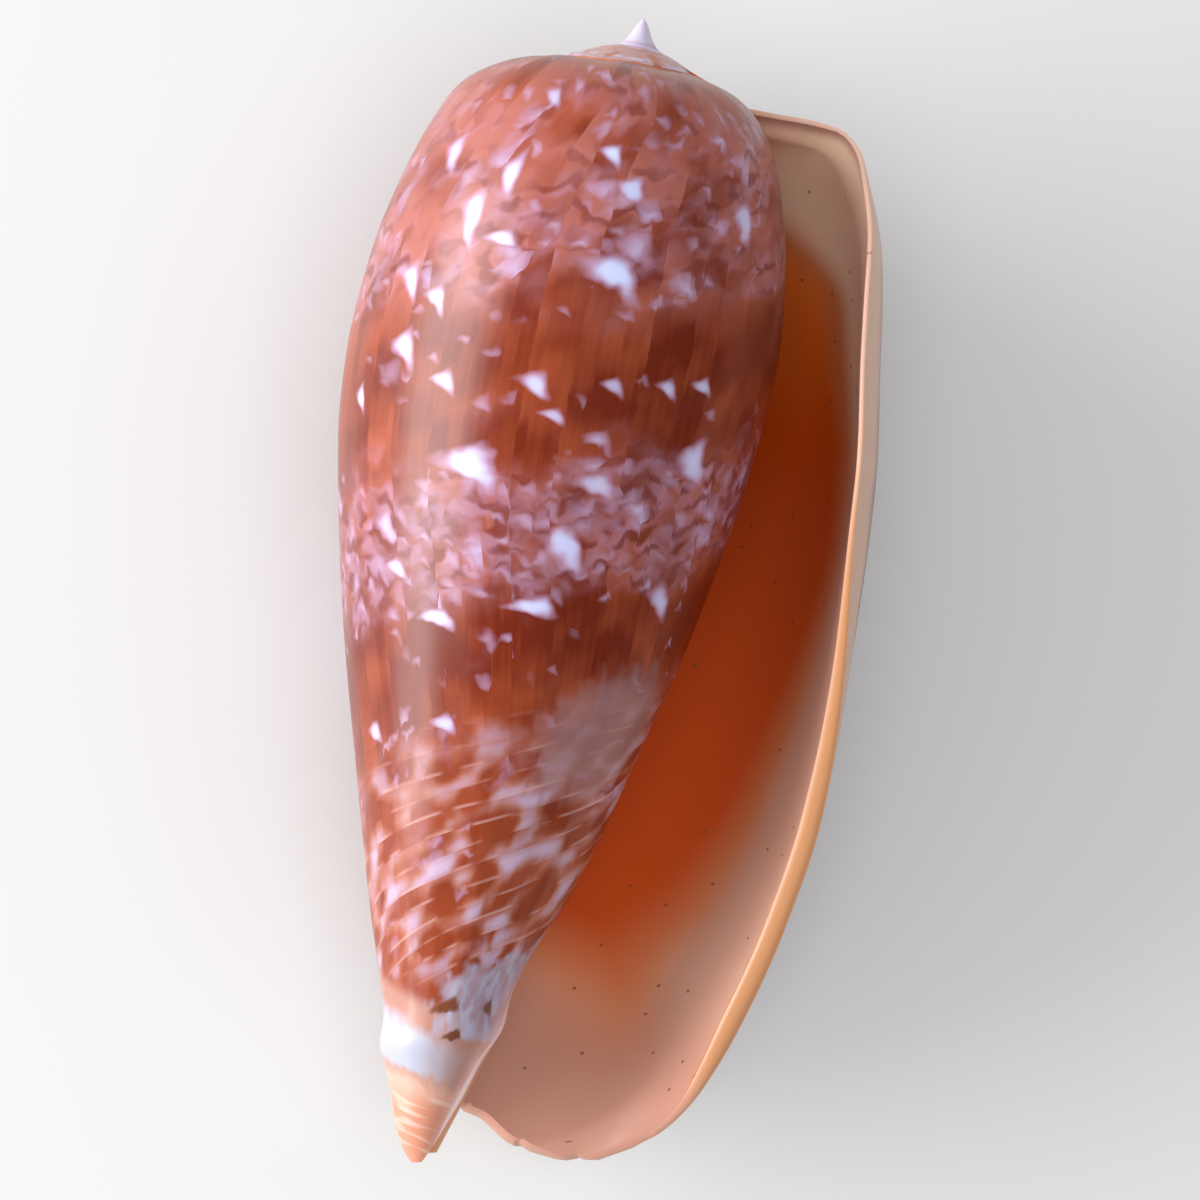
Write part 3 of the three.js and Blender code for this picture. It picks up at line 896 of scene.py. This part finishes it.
def tongue_ridge(make, at, colour):
    """The pink ridge along the tongue, next to the mouth."""
    off_ridge = at.turn + 0.5 + 0.09 * at.level
    foot = make.fall(at.level, 8.0, 14.0)
    colour = make.blend(colour, RIDGE_PINK, make.fall(off_ridge, 0.1, 0.55) * foot * 0.55)
    colour = make.blend(colour, RIDGE_LINE, make.fall(abs(off_ridge), 0.05, 0.2) * foot)
    beyond = make.fall(off_ridge, -0.22, -0.12) * make.fall(at.level, 12.0, 18.0)
    return make.blend(colour, RIDGE_SHADE, beyond)


def spire_markings(make, at, colour):
    """The pale spire with its orange blotches and rings."""
    x, y, z = make.split(make.node("ShaderNodeTexCoord", output="Object"))
    inputs = {"Vector": make.point(x, y, z), "Scale": BLOTCHES_PER_METRE, "Detail": 1.0}
    blotch = make.node("ShaderNodeTexNoise", inputs=inputs)
    orange = make.between(at.radius + 1.2 * (blotch - 0.5), 1.5, 3.1, 0.3) * 0.75
    orange = make.most(orange, make.step(blotch, 0.46, 0.68) * make.step(at.radius, 0.8, 1.5))
    rings = make.step(make.noise(at.radius * 2.6, 0.4, 25, 0.0), 0.46, 0.6)
    orange = make.most(orange, rings * make.step(at.radius, 0.7, 1.1) * 0.6)
    spire = make.blend(SPIRE_PALE, SPIRE_ORANGE, orange)
    return make.blend(colour, spire, make.between(at.inner, 1.5, 2.5, 0.1))


def newest_growth(make, at, colour):
    """The plain newest strip of the outside behind the lip, and the glazed inner whorls."""
    edge_noise = make.noise(at.growth * 0.4, at.spiral * 0.3, 20, 1.0)
    newest = make.fall(at.lip + 1.5 * (edge_noise - 0.5), 2.6, 5.0)
    colour = make.blend(colour, NEW_STRIP, newest)
    return make.blend(colour, GLAZE, make.fall(at.turn, -2.1, -1.6) * make.fall(at.inner, 0.4, 0.6))


def lining_colour(make, at):
    """The inside of the mouth: pale near the lip and deep orange further in. The deep orange is partly the
    lining's own colour and partly painted shade and painted glow of light bouncing in the mouth and passing
    through the thin wall.
    """
    level = at.level
    depth = at.lip + 1.5 * (make.noise(at.growth * 0.15, at.spiral * 0.12, 17, 1.0) - 0.5)
    start = make.graded(level, LINING_START) * LINING_REACH
    end = make.graded(level, LINING_END) * LINING_REACH
    going_in = (depth - start) / (end - start)
    # Painted light: towards the top, the deep and the pale lining colours turn brighter, standing in for light
    # that reaches the upper mouth.
    deep = make.blend(MOUTH_DEEP_GLOW, MOUTH_TOP_LIT, make.step(level, 40.0, 54.0))
    pale = make.blend(LIP_PALE, LIP_CREAM_LIT, make.step(level, 36.0, 48.0))
    pale = make.blend(pale, LIP_FOOT, make.fall(level, 6.0, 14.0))
    pale = make.blend(pale, LIP_EDGE, make.fall(at.lip, 0.6, 2.0) * make.step(level, 34.0, 46.0))
    inside = make.blend(pale, MOUTH_ORANGE, make.step(going_in, 0.0, 0.6))
    # Painted shade and glow: further in, the lining takes the darkened, saturated deep colour.
    inside = make.blend(inside, deep, make.step(going_in, 0.3, 1.0))
    return make.blend(inside, MOUTH_DOT, mouth_dots(make, at) * 0.8)


def mouth_dots(make, at):
    """Small dark dots scattered over the lining."""
    settings = {"voronoi_dimensions": "2D", "feature": "F1"}
    place = make.point(at.growth * 0.5, at.level * 0.5)
    distance = make.node("ShaderNodeTexVoronoi", settings, {"Vector": place, "Scale": 1.0})
    chance = make.split(Wire(make, distance.socket.node.outputs["Color"]))[0]
    return make.fall(distance, 0.03, 0.06) * make.step(chance, 0.72, 0.74)


def lip_edge(make, at, inside):
    """The lip's rim: a tan band low down, and a thin pale line, a painted highlight along the rim's inner edge
    low down and on its crest near the top.
    """
    level, inner = at.level, at.inner
    edge = make.most(make.fall(inner, 0.97, 0.995), make.fall(at.lip, 0.1, 0.5))
    tan = edge * make.fall(level, 34.0, 46.0) * make.step(level, 4.0, 9.0)
    inside = make.blend(inside, LIP_TAN, tan)
    # Painted highlight: a thin pale line along the inner edge of the rim low down, and along the rim's crest
    # near the top.
    line = make.between(inner, 0.86, 0.98, 0.03) * make.between(level, 8.0, 40.0, 3.0)
    crest = make.between(inner, 0.3, 0.6, 0.05) * make.step(level, 36.0, 46.0)
    inside = make.blend(inside, RIM_HIGHLIGHT, make.most(line * 0.6, crest * 0.6))
    inside = make.blend(inside, FOOT_ORANGE, make.fall(level, 10.0, 14.0) * make.fall(at.turn, 0.5, 1.5))
    return make.blend(inside, FOOT_EDGE, make.fall(inner, 0.2, 0.5) * make.fall(level, 4.0, 8.0) * 0.7)


def shell_material():
    make = Finish("cone shell")
    at = Place(make)
    colour, dark = flank_markings(make, at, ground_colour(make, at))
    colour = base_markings(make, at, colour)
    colour = worn_place(make, at, colour)
    colour = fold_markings(make, at, colour, dark)
    colour = tongue_ridge(make, at, colour)
    colour = spire_markings(make, at, colour)
    colour = newest_growth(make, at, colour)
    outside = make.polished(colour, OUTER_POLISH)
    lining = make.polished(lip_edge(make, at, lining_colour(make, at)), INNER_POLISH)
    within = make.most(make.between(at.inner, 0.05, 1.5, 0.04), make.step(at.inner, 2.6, 2.9))
    whole = make.node("ShaderNodeMixShader", inputs={0: within, 1: outside, 2: lining})
    make.node("ShaderNodeOutputMaterial", inputs={"Surface": whole})
    return make.material


# ---------------------------------------------------------------------------- settings


class ShellSizes(bpy.types.PropertyGroup):
    """How fine the shell's mesh is, and its floor, light and camera."""

    columns: IntProperty(name="Columns", description="Mesh steps along the coil", default=264,
                         min=40, subtype="UNSIGNED")
    rows: IntProperty(name="Rows", description="Mesh steps from suture to margin", default=120,
                      min=20, subtype="UNSIGNED")
    floor_size: FloatProperty(name="Floor", description="Width of the floor", default=3.0,
                              min=0.5, unit="LENGTH")
    key_power: FloatProperty(name="Key light", description="Power of the light from the left, in watts",
                             default=5.6, min=0.0, unit="POWER")
    overhead_power: FloatProperty(name="Overhead light", description="Power of the light from above, in watts",
                                  default=1.1, min=0.0, unit="POWER")
    sky: FloatProperty(name="Sky", description="Brightness of the white sky", default=0.6, min=0.0)
    view_width: FloatProperty(name="View width", description="Width of the view at the shell",
                              default=0.0639, min=0.01, unit="LENGTH")
    lean: FloatProperty(name="Lean", description="How far the shell leans to the left in the view",
                        default=math.radians(11), subtype="ANGLE")


class SHELL_OT_body(bpy.types.Operator):
    """Builds the whole shell and its finish"""

    bl_idname = "shell.body"
    bl_label = "Shell"

    def execute(self, context):
        shell = build_shell(context.scene.shell_sizes)
        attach(shell, "root")
        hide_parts("cone_shell")
        return {"FINISHED"}


class SHELL_OT_stage(bpy.types.Operator):
    """Makes the floor, the studio light and the camera"""

    bl_idname = "shell.stage"
    bl_label = "Floor, light and camera"

    def execute(self, context):
        add_floor(context.scene.shell_sizes)
        add_lights(context.scene)
        add_camera(context.scene)
        return {"FINISHED"}


def add_floor(sizes):
    mesh = bpy.data.meshes.new("floor")
    half = sizes.floor_size / 2
    corners = [(-half, -half, 0), (half, -half, 0), (half, half, 0), (-half, half, 0)]
    mesh.from_pydata(corners, [], [(0, 1, 2, 3)])
    floor = bpy.data.objects.new("floor", mesh)
    bpy.context.scene.collection.objects.link(floor)
    paint = bpy.data.materials.new("floor")
    paint.use_nodes = True
    shader = paint.node_tree.nodes["Principled BSDF"]
    shader.inputs["Base Color"].default_value = solid(FLOOR_GREY)
    shader.inputs["Roughness"].default_value = 0.9
    mesh.materials.append(paint)


def area_light(name, place, size, power):
    """A rectangular light aimed at the shell."""
    light = bpy.data.lights.new(name, "AREA")
    light.shape = "RECTANGLE"
    light.size, light.size_y = size
    light.energy = power
    lamp = bpy.data.objects.new(name, light)
    lamp.location = place
    lamp.rotation_euler = (Vector((0, 0, 0.01)) - Vector(place)).to_track_quat("-Z", "Y").to_euler()
    bpy.context.scene.collection.objects.link(lamp)
    return lamp


def add_lights(scene):
    sizes = scene.shell_sizes
    world = bpy.data.worlds.new("studio")
    world.use_nodes = True
    sky = world.node_tree.nodes["Background"]
    sky.inputs["Color"].default_value = (1, 1, 1, 1)
    sky.inputs["Strength"].default_value = sizes.sky
    scene.world = world
    # Only the key light shows as a gleam on the polish.
    world.cycles_visibility.glossy = False
    area_light("key", (-0.52, -0.04, 0.16), (0.6, 0.3), sizes.key_power)
    overhead = area_light("overhead", (0.0, -0.1, 0.6), (0.4, 0.4), sizes.overhead_power)
    overhead.visible_glossy = False


def add_camera(scene):
    """A long lens that looks along the shell's own Y axis, at its mouth side."""
    sizes = scene.shell_sizes
    lens = bpy.data.cameras.new("camera")
    lens.lens = 180
    lens.sensor_width = 36
    lens.clip_end = 10
    camera = bpy.data.objects.new("camera", lens)
    scene.collection.objects.link(camera)
    pose = rest_pose().to_3x3()
    forward = pose @ Vector((0, 1, 0))
    up = pose @ Vector((-math.sin(sizes.lean), 0, math.cos(sizes.lean)))
    right = forward.cross(up)
    distance = sizes.view_width * lens.lens / lens.sensor_width
    low, high = (Vector(corner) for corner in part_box("cone_shell"))
    aim = (low + high) / 2 + right * AIM_RIGHT * MM + up * AIM_UP * MM
    rotation = Matrix((right, up, -forward)).transposed()
    camera.matrix_world = Matrix.Translation(aim - forward * distance) @ rotation.to_4x4()
    scene.camera = camera
    scene.view_settings.view_transform = "Standard"


class SHELL_PT_panel(bpy.types.Panel):
    """Lists the steps that make the shell"""

    bl_label = "Cone Shell"
    bl_space_type = "VIEW_3D"
    bl_region_type = "UI"
    bl_category = "Shell"

    def draw(self, context):
        sizes = context.scene.shell_sizes
        for name in ShellSizes.__annotations__:
            self.layout.prop(sizes, name)
        for step in STEPS:
            self.layout.operator(step.bl_idname)


STEPS = (SHELL_OT_body, SHELL_OT_stage)
CLASSES = (ShellSizes, *STEPS, SHELL_PT_panel)


def register():
    for item in CLASSES:
        bpy.utils.register_class(item)
    bpy.types.Scene.shell_sizes = PointerProperty(type=ShellSizes)


def unregister():
    del bpy.types.Scene.shell_sizes
    for item in reversed(CLASSES):
        bpy.utils.unregister_class(item)


def main():
    register()
    bpy.ops.shell.body()
    bpy.ops.shell.stage()


if __name__ == "__main__":
    main()
